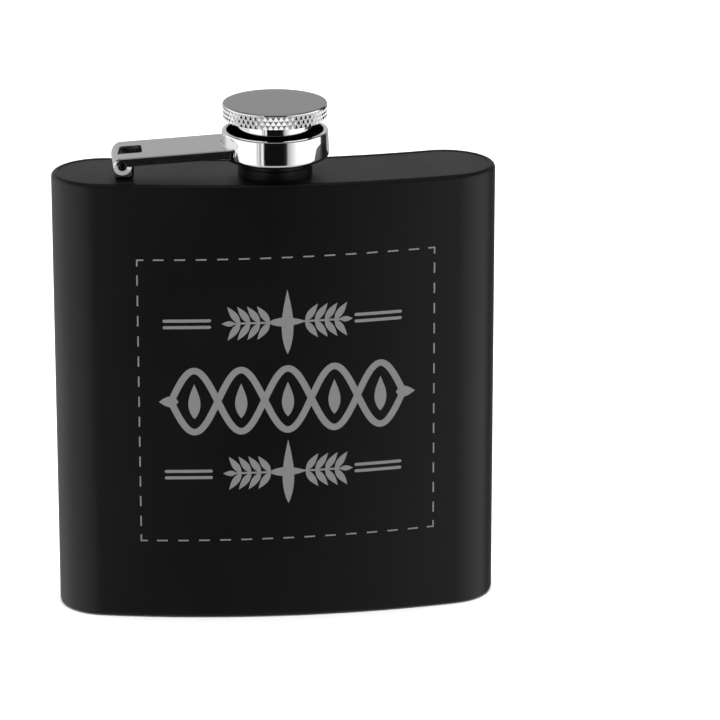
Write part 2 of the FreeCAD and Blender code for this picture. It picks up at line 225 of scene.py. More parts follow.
def settle(thing):
    """Turn an object's modifiers into its mesh."""
    graph = bpy.context.evaluated_depsgraph_get()
    mesh = bpy.data.meshes.new_from_object(thing.evaluated_get(graph))
    thing.modifiers.clear()
    thing.data = mesh


# ------------------------------------------------------------ section of the body

def section_stations(face_steps=120, end_steps=56):
    """Points of the flask's outer section with their outward normals, once round."""
    reach = WALL_HALF_WIDTH - WALL_HALF_DEPTH
    sweep = math.asin(reach / BEND_RADIUS)
    end_y = BEND_RADIUS - math.sqrt(BEND_RADIUS ** 2 - reach ** 2)
    bend = (0, BEND_RADIUS)
    # Centre, radius, first angle, angle turned, 1 where outwards is away from the centre, steps.
    arcs = [
        (bend, BEND_RADIUS + WALL_HALF_DEPTH, -sweep, 2 * sweep, 1, face_steps),
        ((reach, end_y), WALL_HALF_DEPTH, sweep, math.pi, 1, end_steps),
        (bend, BEND_RADIUS - WALL_HALF_DEPTH, sweep, -2 * sweep, -1, face_steps),
        ((-reach, end_y), WALL_HALF_DEPTH, math.pi - sweep, math.pi, 1, end_steps),
    ]
    stations = []
    for centre, radius, start, turned, side, steps in arcs:
        for step in range(steps):
            turn = start + turned * step / steps
            away = Vector((math.sin(turn), -math.cos(turn)))
            stations.append((Vector(centre) + away * radius, away * side))
    return stations


def front_point(along, height, proud):
    """A point on the front face, along metres round from its middle line, proud of the face."""
    radius = BEND_RADIUS + WALL_HALF_DEPTH
    turn = along / radius
    reach = radius + proud
    return (reach * math.sin(turn), BEND_RADIUS - reach * math.cos(turn), height)


# ------------------------------------------------------------ node helpers

class Nodes:
    """A node tree and short ways to add to it."""

    def __init__(self, tree):
        self.tree = tree

    def feed(self, socket, value):
        """Link a socket to another, or set its value."""
        if isinstance(value, bpy.types.NodeSocket):
            self.tree.links.new(value, socket)
        else:
            socket.default_value = value

    def node(self, kind, **inputs):
        made = self.tree.nodes.new(kind)
        for key, value in inputs.items():
            self.feed(made.inputs[key], value)
        return made

    def math(self, operation, first, second=0.0):
        made = self.node("ShaderNodeMath")
        made.operation = operation
        self.feed(made.inputs[0], first)
        self.feed(made.inputs[1], second)
        return made.outputs[0]

    def ramp(self, value, start, stop, first=0.0, last=1.0, kind="LINEAR"):
        """value taken from start..stop to first..last."""
        made = self.node("ShaderNodeMapRange", Value=value)
        made.interpolation_type = kind
        made.inputs["From Min"].default_value = start
        made.inputs["From Max"].default_value = stop
        made.inputs["To Min"].default_value = first
        made.inputs["To Max"].default_value = last
        return made.outputs[0]


class Shader(Nodes):
    """A material's node tree, with its Principled shader."""

    def __init__(self, name, colour, metallic, roughness):
        self.material = bpy.data.materials.new(name)
        self.material.use_nodes = True
        super().__init__(self.material.node_tree)
        self.shader = self.tree.nodes["Principled BSDF"]
        self.shader.inputs["Base Color"].default_value = (*colour, 1)
        self.shader.inputs["Metallic"].default_value = metallic
        self.shader.inputs["Roughness"].default_value = roughness
        self.shader.inputs["IOR"].default_value = 1.5
        self.place = self.node("ShaderNodeTexCoord").outputs["Object"]

    def scaled(self, x, y, z):
        """The object's own coordinates, stretched."""
        mapping = self.node("ShaderNodeMapping", Vector=self.place)
        mapping.inputs["Scale"].default_value = (x, y, z)
        return mapping.outputs[0]

    def from_axis(self):
        """The distance from the object's vertical axis, and the height."""
        parts = self.node("ShaderNodeSeparateXYZ", Vector=self.place).outputs
        across = self.math("POWER", parts["X"], 2.0)
        along = self.math("POWER", parts["Y"], 2.0)
        return self.math("SQRT", self.math("ADD", across, along)), parts["Z"]

    def noise(self, vector, detail, scale=1.0):
        made = self.node("ShaderNodeTexNoise", Vector=vector, Scale=scale, Detail=detail)
        return made.outputs["Fac"]

    def ranged(self, noise, low_end, high_end):
        """A noise taken to low_end..high_end, over the middle of its range."""
        return self.ramp(noise, 0.3, 0.7, low_end, high_end)

    def mixed(self, share, first, second):
        made = self.tree.nodes.new("ShaderNodeMix")
        made.data_type = "RGBA"
        self.tree.links.new(share, made.inputs["Factor"])
        made.inputs["A"].default_value = (*first, 1)
        made.inputs["B"].default_value = (*second, 1)
        return made.outputs["Result"]

    def colour(self, socket):
        self.tree.links.new(socket, self.shader.inputs["Base Color"])

    def rough(self, socket):
        self.tree.links.new(socket, self.shader.inputs["Roughness"])

    def bump(self, height, distance, strength):
        made = self.node("ShaderNodeBump", Height=height, Strength=strength, Distance=distance)
        self.tree.links.new(made.outputs[0], self.shader.inputs["Normal"])


def grey(value):
    return (value, value, value)


# ------------------------------------------------------------ materials

def powder_coat():
    """Matt black powder coat: a fine orange peel, faint cloudiness and rubbed sheen."""
    coat = Shader("black_powder_coat", grey(0.0018), 0, 0.42)
    coat.shader.inputs["Specular IOR Level"].default_value = 0.31
    peel = coat.noise(coat.scaled(2200, 2200, 2200), detail=3)
    cloud = coat.noise(coat.scaled(45, 45, 30), detail=4)
    coat.colour(coat.mixed(cloud, (0.0015, 0.0015, 0.0016), (0.0021, 0.0021, 0.002)))
    coat.rough(coat.ranged(cloud, 0.39, 0.46))
    coat.bump(peel, 0.00002, 0.5)
    return coat.material


def polish(steel):
    """The faintest wipe marks of a mirror polish. Returns the roughness."""
    smear = steel.noise(steel.scaled(160, 160, 500), detail=5)
    wave = steel.noise(steel.scaled(260, 260, 120), detail=2)
    steel.bump(wave, 0.00002, 0.25)
    return steel.ranged(smear, 0.035, 0.085)


def polished_steel():
    """Mirror-polished stainless steel."""
    steel = Shader("polished_steel", grey(0.86), 1, 0.05)
    steel.rough(polish(steel))
    return steel.material


def ring_steel():
    """Polished outside; the bore is left dull, and its colour is painted near black as painted
    shade.
    """
    steel = Shader("ring_steel", grey(0.86), 1, 0.05)
    radius = steel.from_axis()[0]
    unshaded_outside = steel.ramp(radius, RING_BORE, RING_BORE + 0.12 * MM)
    # Painted shade: the bore's colour drops to near black, standing in for the shadow in the gap
    # between ring and cap.
    steel.colour(steel.mixed(unshaded_outside, grey(0.012), grey(0.86)))
    dull = steel.math("MULTIPLY", steel.math("SUBTRACT", 1.0, unshaded_outside), 0.35)
    steel.rough(steel.math("ADD", polish(steel), dull))
    return steel.material


def dark_steel():
    """Blued steel of the hinge pin."""
    steel = Shader("dark_steel", grey(0.09), 1, 0.22)
    cloud = steel.noise(steel.scaled(900, 900, 900), detail=3)
    steel.colour(steel.mixed(cloud, grey(0.07), grey(0.12)))
    steel.rough(steel.ranged(cloud, 0.17, 0.28))
    steel.bump(cloud, 0.00001, 0.4)
    return steel.material


def satin_strap():
    """Satin steel of the arm, brushed along its length."""
    steel = Shader("satin_steel", grey(0.62), 1, 0.2)
    grain = steel.noise(steel.scaled(500, 9000, 9000), detail=4)
    steel.rough(steel.ranged(grain, 0.15, 0.24))
    steel.bump(grain, 0.000006, 0.4)
    return steel.material


def spun_steel():
    """Steel of the cap: a satin top with fine turned rings over a bright knurl."""
    steel = Shader("spun_steel", grey(0.53), 1, 0.32)
    radius, height = steel.from_axis()
    crown = high("cap_head").z
    flat = steel.ramp(height, crown - 0.1 * MM, crown - 0.06 * MM)
    steel.colour(steel.mixed(flat, grey(0.76), grey(0.52)))
    rings = steel.noise(steel.node("ShaderNodeCombineXYZ", X=radius).outputs[0],
                        detail=4, scale=9000)
    satin = steel.math("MULTIPLY", flat, 0.22)
    steel.rough(steel.math("ADD", steel.ranged(rings, 0.07, 0.13), satin))
    steel.bump(rings, 0.000006, 0.5)
    return steel.material


def etched_steel():
    """Bare steel where the coating is lasered away: pale, dry and slightly mottled."""
    mark = Shader("etched_mark", grey(0.2), 0.2, 0.6)
    speckle = mark.noise(mark.scaled(4000, 4000, 4000), detail=3)
    mark.colour(mark.mixed(speckle, (0.185, 0.187, 0.19), (0.235, 0.235, 0.237)))
    mark.rough(mark.ranged(speckle, 0.55, 0.7))
    mark.bump(speckle, 0.00001, 0.5)
    return mark.material


def liner_plastic():
    """White polythene backing disc."""
    plastic = Shader("white_liner", (0.82, 0.82, 0.8), 0, 0.45)
    cloud = plastic.noise(plastic.scaled(300, 300, 300), detail=2)
    plastic.rough(plastic.ranged(cloud, 0.4, 0.52))
    plastic.bump(cloud, 0.00002, 0.3)
    return plastic.material


def gasket_rubber():
    """Translucent silicone gasket, a little milky."""
    rubber = Shader("clear_gasket", (0.7, 0.7, 0.67), 0, 0.5)
    cloud = rubber.noise(rubber.scaled(900, 900, 900), detail=3)
    rubber.colour(rubber.mixed(cloud, (0.66, 0.66, 0.63), (0.74, 0.74, 0.71)))
    rubber.rough(rubber.ranged(cloud, 0.45, 0.6))
    rubber.bump(cloud, 0.00001, 0.5)
    return rubber.material


MATERIALS = {
    "coat": powder_coat(),
    "polished": polished_steel(),
    "ring": ring_steel(),
    "dark": dark_steel(),
    "satin": satin_strap(),
    "spun": spun_steel(),
    "etched": etched_steel(),
    "liner": liner_plastic(),
    "rubber": gasket_rubber(),
}
NODE_MATERIALS = {
    "body_wall": "coat",
    "top_plate": "coat",
    "base_plate": "coat",
    "neck": "coat",
    "hinge_lug": "coat",
    "hinge_pin": "dark",
    "cap_arm": "satin",
    "cap_ring": "ring",
    "slip_washer": "satin",
    "cap_sleeve": "polished",
    "cap_head": "spun",
    "cap_liner": "liner",
    "gasket": "rubber",
}


def dress_nodes():
    """Give every CAD node its material."""
    for name, key in NODE_MATERIALS.items():
        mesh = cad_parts[name].data
        mesh.materials.clear()
        mesh.materials.append(MATERIALS[key])


# ------------------------------------------------------------ pieces

def make_wall():
    """The sheet wall with its rolled rims, swept round the section."""
    profile = rounded([
        (RIM_WIDTH, 0, 0),
        (0, 0, SHOULDER),
        (0, WALL_TOP, SHOULDER),
        (RIM_WIDTH, WALL_TOP, 0),
        (RIM_WIDTH, WALL_TOP - SHOULDER, 0),
        (WALL_GAUGE, WALL_TOP - SHOULDER, 0),
        (WALL_GAUGE, SHOULDER, 0),
        (RIM_WIDTH, SHOULDER, 0),
    ], steps=10)
    stations = section_stations()
    verts = []
    for point, out in stations:
        for inset, height in profile:
            place = point - out * inset
            verts.append((place.x, place.y, height))
    faces = bridge(len(stations), len(profile))
    new_piece("wall", verts, faces, "flask", MATERIALS["coat"],
              ["body_wall"])


def make_ring():
    """The polished ring with softened edges and its inner lip."""
    outside, bore = RING_RADIUS, RING_BORE
    foot, top = low("cap_ring").z, high("cap_ring").z
    taper = 0.3 * MM
    lip_bore = 8.55 * MM
    lip_foot = foot + 2.4 * MM
    lip_top = lip_foot + 0.8 * MM
    profile = rounded([
        (bore, foot, 0.2 * MM),
        (outside, foot, 1.0 * MM),
        (outside - taper, top, 0.3 * MM),
        (bore, top, 0.15 * MM),
        (bore, lip_top, 0.15 * MM),
        (lip_bore, lip_top, 0.12 * MM),
        (lip_bore, lip_foot, 0.12 * MM),
        (bore, lip_foot, 0.15 * MM),
    ])
    verts, faces = lathe(profile, 256)
    new_piece("ring", verts, faces, "arm", MATERIALS["ring"], ["cap_ring"])


def knurl(turn, share, count, rows):
    """Height, 0 to 1, of a diamond knurl at an angle and a share of the band's height."""
    first = (turn / TURN * count + share * rows / 2) % 1
    second = (turn / TURN * count - share * rows / 2) % 1
    return min(1 - abs(2 * first - 1), 1 - abs(2 * second - 1))


def make_head():
    """The grip disc: a spun, barely domed top over a diamond-knurled band."""
    radius = high("cap_head").x
    foot, top = low("cap_head").z, high("cap_head").z
    diamonds, rows = 60, 3
    depth = 0.38 * MM
    edge = 0.12 * MM
    dome = 0.04 * MM
    bend, land = 0.28 * MM, 0.1 * MM
    band_low, band_high = foot + edge, top - dome - bend - land
    steps_up = 30
    segments = diamonds * 12
    inner = 8.2 * MM
    shoulder = radius - 0.08 * MM
    upper = [(shoulder, band_high + 0.01 * MM), (shoulder, band_high + land)]
    upper += arc(shoulder - bend, band_high + land, bend, 15, 90, 5)
    upper += [(radius * part, top - dome * part ** 2) for part in (0.94, 0.7, 0.5, 0.3, 0.1)]
    verts = []
    for step in range(segments):
        turn = TURN * step / segments
        column = [(inner, foot + 1.0 * MM), (inner, foot), (radius - depth - edge, foot)]
        for rise in range(steps_up + 1):
            share = rise / steps_up
            height = knurl(turn, share, diamonds, rows)
            column.append((radius - depth * (1 - height),
                           band_low + (band_high - band_low) * share))
        column += upper
        verts += [(r * math.cos(turn), r * math.sin(turn), z) for r, z in column]
    per_turn = len(column)
    faces = []
    for step in range(segments):
        here, there = step * per_turn, (step + 1) % segments * per_turn
        faces += [(here + k, there + k, there + k + 1, here + k + 1)
                  for k in range(per_turn - 1)]
    faces.append([step * per_turn for step in reversed(range(segments))])
    faces.append([step * per_turn + per_turn - 1 for step in range(segments)])
    new_piece("head", verts, faces, "cap", MATERIALS["spun"], ["cap_head"],
              crease=28)


# ------------------------------------------------------------ arm and hinge

PIN_X = (low("hinge_pin").x + high("hinge_pin").x) / 2
PIN_Z = (low("hinge_pin").z + high("hinge_pin").z) / 2
ARM_HALF = high("cap_arm").y
ARM_GAUGE = 0.5 * MM
CURL_RADIUS = 1.6 * MM
CURL_X = PIN_X - 0.4 * MM
CURL_WIDTH = 2.0 * MM
CURL_HEIGHT = 1.62 * MM
EAR_RADIUS = PIN_X - low("cap_arm").x
ARM_END = -9.0 * MM
CROWN = PIN_Z + CURL_RADIUS
CROWN_RISE = 1.38 * MM
FLANGE_EDGE = PIN_Z - 0.03 * MM
FLANGE_RISE = 1.22 * MM
FLANGE_END = -9.9 * MM
SLOT_HALF = 2.95 * MM
EYE_RADIUS = 0.6 * MM
PIN_SHANK = 0.55 * MM


def arm_rows(inset, past_end):
    """The arm's side view, shrunk by inset, from the curled end to the flanges and the ear.

    Each row is x, z, the way inwards (x, z), and the shares of the strap's and of the corners'
    rounding there.
    """
    length = ARM_END - CURL_X
    run = past_end + length
    wide, tall = CURL_WIDTH - inset, CURL_HEIGHT - inset
    rows = []
    curl = 86
    steps = 24
    for step in range(steps + 1):
        turn = math.radians(180 - curl * step / steps)
        way = (math.cos(turn), math.sin(turn))
        climb = 1 - step / steps
        rows.append((PIN_X - EAR_RADIUS + CURL_WIDTH + wide * way[0], PIN_Z + tall * way[1],
                     -way[0], -way[1], 1 - climb, climb))
    rows.append((CURL_X + run, CROWN - inset + CROWN_RISE * run / length, 0, -1, 1, 0))
    rows.append((CURL_X + run, FLANGE_EDGE - inset + FLANGE_RISE * run / length, 0, 0, 0, 0))
    radius = EAR_RADIUS - inset
    fade_start = 0.6
    steps = 36
    for step in range(steps):
        turn = math.radians(-180 * step / steps)
        way = (math.cos(turn), math.sin(turn))
        fade = max(0, step / steps - fade_start) / (1 - fade_start)
        rows.append((PIN_X + radius * way[0], PIN_Z + radius * way[1], -way[0], -way[1], 0, fade))
    return rows


def arm_shell(name, inset, strap, near, far, past_end):
    """The arm's outer form, or with an inset the form of its hollow, with rounded bends.

    strap, near and far are the (inward, sideways) sizes of the rounding along the strap and at
    the near and far corners of the curled end.
    """
    rows = arm_rows(inset, past_end)
    half = ARM_HALF - inset
    count, steps = len(rows), 10
    levels = [(-1, near, step) for step in range(steps + 1)]
    levels += [(1, far, step) for step in reversed(range(steps + 1))]
    verts = []
    for side, corner, step in levels:
        turn = math.pi / 2 * step / steps
        for x, z, in_x, in_z, along, round_end in rows:
            inward = (strap[0] * along + corner[0] * round_end) * (1 - math.sin(turn))
            sideways = (strap[1] * along + corner[1] * round_end) * (1 - math.cos(turn))
            verts.append((x + in_x * inward, side * (half - sideways), z + in_z * inward))
    faces = bridge(len(levels), count, closed=False)
    faces += [list(range(count)), list(range(len(verts) - count, len(verts)))]
    shell = raw_object(name, verts, faces)
    turn_outwards(shell, weld=True)
    return shell


def make_arm():
    """The pressed channel of the arm: rounded bends, a slot, pin eyes and coined ears."""
    bends = (0.35 * MM, 0.35 * MM), (1.0 * MM, 1.1 * MM), (1.5 * MM, 5.0 * MM)
    inner_bends = (0.1 * MM, 0.1 * MM), (0.7 * MM, 0.8 * MM), (1.1 * MM, 4.6 * MM)
    arm = arm_shell("arm_strap", 0.0, *bends, 2 * MM)
    combine(arm, arm_shell("hollow", ARM_GAUGE, *inner_bends, 3 * MM))

    inside = ARM_HALF - ARM_GAUGE
    before, past = PIN_X - 4 * MM, ARM_END + 4 * MM
    below = [
        (before, PIN_Z - 4 * MM),
        (past, PIN_Z - 4 * MM),
        (past, PIN_Z + 0.9 * MM),
        (PIN_X + 2.1 * MM, PIN_Z - 0.3 * MM),
        (before, PIN_Z - 0.3 * MM),
    ]
    combine(arm, prism("below", below, -inside, inside))

    slot_end = PIN_X + 4.4 * MM
    slot = rounded([
        (PIN_X - 0.9 * MM, -SLOT_HALF, 0.4 * MM),
        (slot_end, -SLOT_HALF, 0.7 * MM),
        (slot_end, SLOT_HALF, 0.7 * MM),
        (PIN_X - 0.1 * MM, SLOT_HALF, 0.4 * MM),
    ])
    combine(arm, tower("slot", slot, PIN_Z, PIN_Z + 5 * MM))
    combine(arm, tower("seat", disc(0, 0, RING_RADIUS - 0.02 * MM, 192), DECK, DECK + 20 * MM))
    combine(arm, prism("eyes", disc(PIN_X, PIN_Z, EYE_RADIUS, 48), -10 * MM, 10 * MM))

    flange_end = [
        (FLANGE_END, PIN_Z - MM),
        (FLANGE_END + 3 * MM, PIN_Z - MM),
        (FLANGE_END + 3 * MM, CROWN + CROWN_RISE - 0.62 * MM),
        (FLANGE_END, CROWN + CROWN_RISE - 0.67 * MM),
    ]
    for side in (-1, 1):
        combine(arm, coining("coining", side))
        ends = sorted((side * (ARM_HALF - 0.7 * MM), side * (ARM_HALF + MM)))
        combine(arm, prism("flange_end", flange_end, *ends))

    web_top, web_end = PIN_Z + 0.45 * MM, PIN_X + 5.4 * MM
    web = [
        (PIN_X + 2.68 * MM, PIN_Z),
        (web_end, PIN_Z + 0.15 * MM),
        (web_end, web_top),
        (PIN_X + 2.52 * MM, web_top),
    ]
    combine(arm, prism("web", web, -ARM_HALF + 0.3 * MM, ARM_HALF - 0.3 * MM), "UNION")
    soften(arm, 0.06 * MM)
    finish_piece(arm, "arm", MATERIALS["satin"], ["cap_arm"], crease=14)
    even_normals(arm)


def coining(name, side):
    """The wedge that is pressed off the lower rim of the ear on one side of the arm."""
    face = side * ARM_HALF
    inner, outer = 1.0 * MM, 3.0 * MM
    section = [
        (inner, face),
        (inner, face + side * MM),
        (outer, face + side * MM),
        (outer, face - side * 0.7 * MM),
    ]
    steps = 40
    verts = []
    for step in range(steps + 1):
        turn = math.radians(170 + 185 * step / steps)
        verts += [(PIN_X + radius * math.cos(turn), y, PIN_Z + radius * math.sin(turn))
                  for radius, y in section]
    faces = bridge(steps + 1, 4, closed=False)
    faces += [(0, 1, 2, 3), tuple(4 * steps + k for k in (3, 2, 1, 0))]
    wedge = raw_object(name, verts, faces)
    turn_outwards(wedge)
    return wedge


def make_weld():
    """The brazed fillet where the strap meets the ring."""
    half_turn = math.asin((ARM_HALF - 0.35 * MM) / RING_RADIUS)
    size = 0.13 * MM
    steps, around = 40, 8
    slope = CROWN_RISE / (ARM_END - CURL_X)
    verts = []
    for step in range(steps + 1):
        turn = math.pi - half_turn + 2 * half_turn * step / steps
        share = 1 - (2 * step / steps - 1) ** 6
        reach = -RING_RADIUS * math.cos(turn)
        top = CROWN + (-reach - CURL_X) * slope
        bead = size * (0.25 + 0.75 * share)
        section = [(-0.1 * MM, -0.1 * MM)]
        for k in range(around):
            bend = math.pi / 2 * k / (around - 1)
            section.append((bead * (1 - math.sin(bend)), bead * (1 - math.cos(bend))))
        for out, up in section:
            radius = RING_RADIUS + out
            verts.append((radius * math.cos(turn), radius * math.sin(turn), top + up))
    ring = around + 1
    faces = bridge(steps + 1, ring, closed=False)
    faces += [list(range(ring)), list(reversed(range(steps * ring, (steps + 1) * ring)))]
    weld = raw_object("arm_weld", verts, faces)
    turn_outwards(weld)
    finish_piece(weld, "arm", MATERIALS["polished"], crease=50)


def make_pin():
    """The hinge pin, a rivet with flared, hollow ends."""
    half = high("hinge_pin").y
    head, gauge = 0.9 * MM, 0.25 * MM
    bore, depth = 0.42 * MM, 1.2 * MM
    profile = rounded([
        (0, -half + depth, 0),
        (bore, -half + depth, 0),
        (bore, -half, 0.06 * MM),
        (head, -half, 0.12 * MM),
        (head, -half + gauge, 0.06 * MM),
        (PIN_SHANK, -half + gauge, 0),
        (PIN_SHANK, half - gauge, 0),
        (head, half - gauge, 0.06 * MM),
        (head, half, 0.12 * MM),
        (bore, half, 0.06 * MM),
        (bore, half - depth, 0),
        (0, half - depth, 0),
    ], steps=4)
    segments = 48
    verts = []
    for step in range(segments):
        turn = TURN * step / segments
        for radius, along in profile:
            verts.append((PIN_X + radius * math.cos(turn), along,
                          PIN_Z + radius * math.sin(turn)))
    pin = raw_object("pin", verts, bridge(segments, len(profile)))
    turn_outwards(pin, weld=True)
    finish_piece(pin, "flask", MATERIALS["dark"], ["hinge_pin"])


def make_lug():
    """The bent strip that carries the pin, coated like the flask."""
    left, right = low("hinge_lug").x, high("hinge_lug").x
    gauge = 0.45 * MM
    bend = 0.9 * MM
    knuckle = 1.0 * MM
    half = high("hinge_lug").y
    leaf = PIN_Z + 0.1 * MM
    strip = rounded([
        (left, DECK, 0),
        (right, DECK, bend),
        (right, leaf + gauge, bend),
        (PIN_X, leaf + gauge, 0),
        (PIN_X, leaf, 0),
        (right - gauge, leaf, bend - gauge),
        (right - gauge, DECK + gauge, bend - gauge),
        (left, DECK + gauge, 0),
    ], steps=8)
    lug = prism("lug", strip, -half, half)
    combine(lug, prism("roll", disc(PIN_X, PIN_Z, knuckle, 64), -half, half), "UNION")
    combine(lug, prism("hole", disc(PIN_X, PIN_Z, PIN_SHANK, 48), -half * 2, half * 2))
    soften(lug, 0.1 * MM)
    finish_piece(lug, "flask", MATERIALS["coat"], ["hinge_lug"], crease=30)
    even_normals(lug)


# ------------------------------------------------------------ etched ornament

ART_CENTRE = (1.63 * MM, 49.8 * MM)
ART_HALF_WIDTH = 31.83 * MM
ART_HALF_HEIGHT = 31.6 * MM
ART_SHEAR = 0.0141
ETCH_PROUD = 0.02 * MM
ETCH_BURY = 0.05 * MM
THINNEST = 0.02 * MM


class Inlay:
    """Ribbons laid on the flask's front, gathered into one mesh."""

    def __init__(self):
        self.verts = []
        self.faces = []

    def place(self, across, up, proud):
        height = ART_CENTRE[1] + up + across * ART_SHEAR
        return front_point(ART_CENTRE[0] + across, height, proud)

    def ribbon(self, path, widths):
        """A flat strip along path, widths[i] wide at its points."""
        start = len(self.verts)
        count = len(path)
        for index, (point, width) in enumerate(zip(path, widths)):
            before = path[max(index - 1, 0)]
            after = path[min(index + 1, count - 1)]
            along = (Vector(after) - Vector(before)).normalized()
            aside = Vector((-along.y, along.x)) * (width / 2)
            for side, proud in ((1, -ETCH_BURY), (1, ETCH_PROUD), (-1, ETCH_PROUD),
                                (-1, -ETCH_BURY)):
                self.verts.append(self.place(point[0] + side * aside.x,
                                             point[1] + side * aside.y, proud))
        last = start + 4 * (count - 1)
        self.faces += bridge(count, 4, closed=False, start=start)
        self.faces += [(start + 3, start + 2, start + 1, start),
                       (last, last + 1, last + 2, last + 3)]

    def bar(self, first, last, width, steps=8):
        """A straight strip from first to last."""
        first, last = Vector(first), Vector(last)
        path = [first.lerp(last, step / steps) for step in range(steps + 1)]
        self.ribbon(path, [width] * len(path))

    def lozenge(self, first, last, width):
        """A straight strip from first to last with round ends."""
        first, last = Vector(first), Vector(last)
        length = (last - first).length
        radius = width / 2
        straight = length - 2 * radius
        end_steps, straight_steps = 6, 8
        end = [radius * (1 - math.cos(math.pi / 2 * step / end_steps))
               for step in range(end_steps + 1)]
        middle = [radius + straight * step / straight_steps for step in range(1, straight_steps)]
        path, widths = [], []
        for reach in end + middle + [length - reach for reach in reversed(end)]:
            inside = min(reach, length - reach, radius)
            path.append(first.lerp(last, reach / length))
            widths.append(max(2 * math.sqrt(radius ** 2 - (radius - inside) ** 2), THINNEST))
        self.ribbon(path, widths)

    def leaf(self, root, turn, length, width, steps=14):
        """A pointed leaf from root, heading turn radians above the horizontal."""
        heading = Vector((math.cos(turn), math.sin(turn)))
        path = [Vector(root) + heading * (length * step / steps) for step in range(steps + 1)]
        widths = [max(width * math.sin(math.pi * (step / steps) ** 0.8), THINNEST)
                  for step in range(steps + 1)]
        self.ribbon(path, widths)

    def finish(self, name):
        new_piece(name, self.verts, self.faces, "flask", MATERIALS["etched"])


def make_border():
    """A dashed square with a small bracket at each corner."""
    inlay = Inlay()
    dashes = 13
    dash, line, arm = 2.3 * MM, 0.32 * MM, 1.4 * MM
    wide, tall = ART_HALF_WIDTH, ART_HALF_HEIGHT
    for index in range(1, dashes + 1):
        share = 2 * index / (dashes + 1) - 1
        for side in (-1, 1):
            middle, edge = share * wide, side * tall
            inlay.bar((middle - dash / 2, edge), (middle + dash / 2, edge), line, 3)
            middle, edge = share * tall, side * wide
            inlay.bar((edge, middle - dash / 2), (edge, middle + dash / 2), line, 1)
    for right in (-1, 1):
        for up in (-1, 1):
            corner = Vector((right * wide, up * tall))
            outer = Vector((right * line / 2, 0))
            inlay.bar(corner + outer, corner - Vector((right * arm, 0)), line, 2)
            stub = Vector((0, up * line / 2))
            inlay.bar(corner - stub, corner - Vector((0, up * arm)), line, 1)
    inlay.finish("etched_border")


def make_rules():
    """Double rules on either side of the upper and lower sprigs."""
    inlay = Inlay()
    inner, outer = 15.3 * MM, 25.6 * MM
    gap, line = 1.45 * MM, 0.68 * MM
    shift = -0.95 * MM
    for height in (17.35 * MM, -16.5 * MM):
        for side in (-1, 1):
            for up in (-gap / 2, gap / 2):
                inlay.lozenge((side * inner + shift, height + up),
                              (side * outer + shift, height + up), line)
    inlay.finish("etched_rules")


def make_sprigs():
    """A four-pointed star with a branch of leaves to each side, above and below the band."""
    inlay = Inlay()
    star_up, star_out = 7.2 * MM, 4.2 * MM
    stem_start, stem_end = 3.4 * MM, 11.4 * MM
    pairs, first_pair, pair_gap = 4, 3.8 * MM, 2.1 * MM
    splay = 0.95
    for height in (17.3 * MM, -16.4 * MM):
        inlay.leaf((0, height - star_up), math.pi / 2, 2 * star_up, 2.5 * MM, 24)
        inlay.leaf((-star_out, height), 0, 2 * star_out, 2.0 * MM, 20)
        for side in (-1, 1):
            inlay.bar((side * stem_start, height), (side * stem_end, height), 0.45 * MM)
            heading = 0 if side > 0 else math.pi
            for pair in range(pairs):
                root = side * (first_pair + pair_gap * pair)
                for tilt in (splay, -splay):
                    inlay.leaf((root, height), heading + side * tilt, 4.6 * MM, 1.5 * MM)
            inlay.leaf((side * (stem_end - 0.2 * MM), height), heading, 2.8 * MM, 1.2 * MM)
    inlay.finish("etched_sprigs")


def make_band():
    """Two waves that cross to make a chain of eyes, with a lozenge in each eye."""
    inlay = Inlay()
    half, swing, stroke = 25 * MM, 6.9 * MM, 1.45 * MM
    lozenge_half = 3.9 * MM
    eyes = 5
    steps = 140
    for sign in (-1, 1):
        path = []
        for step in range(steps + 1):
            share = step / steps
            path.append(Vector((-half + 2 * half * share,
                                sign * swing * math.sin(math.pi * eyes * share))))
        inlay.ribbon(path, [stroke] * len(path))
    for side in (-1, 1):
        heading = 0 if side > 0 else math.pi
        inlay.leaf((side * (half - 1.6 * MM), 0), heading, 4.2 * MM, 2.4 * MM, 16)
    for eye in range(eyes):
        middle = -half + 2 * half * (eye + 0.5) / eyes
        inlay.leaf((middle, -lozenge_half), math.pi / 2, 2 * lozenge_half, 2.6 * MM, 16)
    inlay.finish("etched_band")


# ------------------------------------------------------------ floor, light and camera

def make_floor():
    """A plain pale floor."""
    bpy.ops.mesh.primitive_circle_add(vertices=96, radius=12, fill_type="NGON")
    floor = bpy.context.object
    floor.name = "floor"
    paint = Shader("floor_paint", grey(0.86), 0, 0.9)
    cloud = paint.noise(paint.scaled(3, 3, 3), detail=2)
    paint.colour(paint.mixed(cloud, grey(0.85), grey(0.87)))
    floor.data.materials.append(paint.material)
    floor.visible_glossy = False


# The studio all round, by direction: degrees round from the front (left is negative), brightness,
# and the sine of the elevation at which it gives way to a dark ceiling. The front is dark, as the
# gap between two large softboxes is, and the back is a paler sweep.
STUDIO = (
    (-180, 0.56, 0.50),
    (-142, 0.62, 0.55),
    (-128, 1.20, 0.55),
    (-45, 1.20, 0.50),
    (-41.5, 0.45, 0.65),
    (-39.5, 1.10, 0.65),
    (-37, 0.32, 0.60),
    (-34, 0.45, 0.60),
    (-32.5, 1.10, 0.60),
    (-29.5, 1.00, 0.55),
    (-27.5, 0.006, 0.45),
    (13, 0.006, 0.45),
    (20, 0.03, 0.50),
    (24, 0.50, 0.55),
    (42, 1.15, 0.50),
    (107, 1.45, 0.55),
    (112, 0.03, 0.55),
    (137, 0.03, 0.50),
    (142, 0.40, 0.50),
    (180, 0.56, 0.50),
)
# Above and below the walls: brightness, and the sines of elevation at which it starts and is full.
# The ceiling's two are counted from the height that STUDIO gives for its direction.
CEILING = (0.03, -0.12, 0.12)
ZENITH = (0.5, 0.86, 0.93)
TABLE = (0.6, -0.48, -0.66)
PIT = (0.02, -0.9, -0.97)


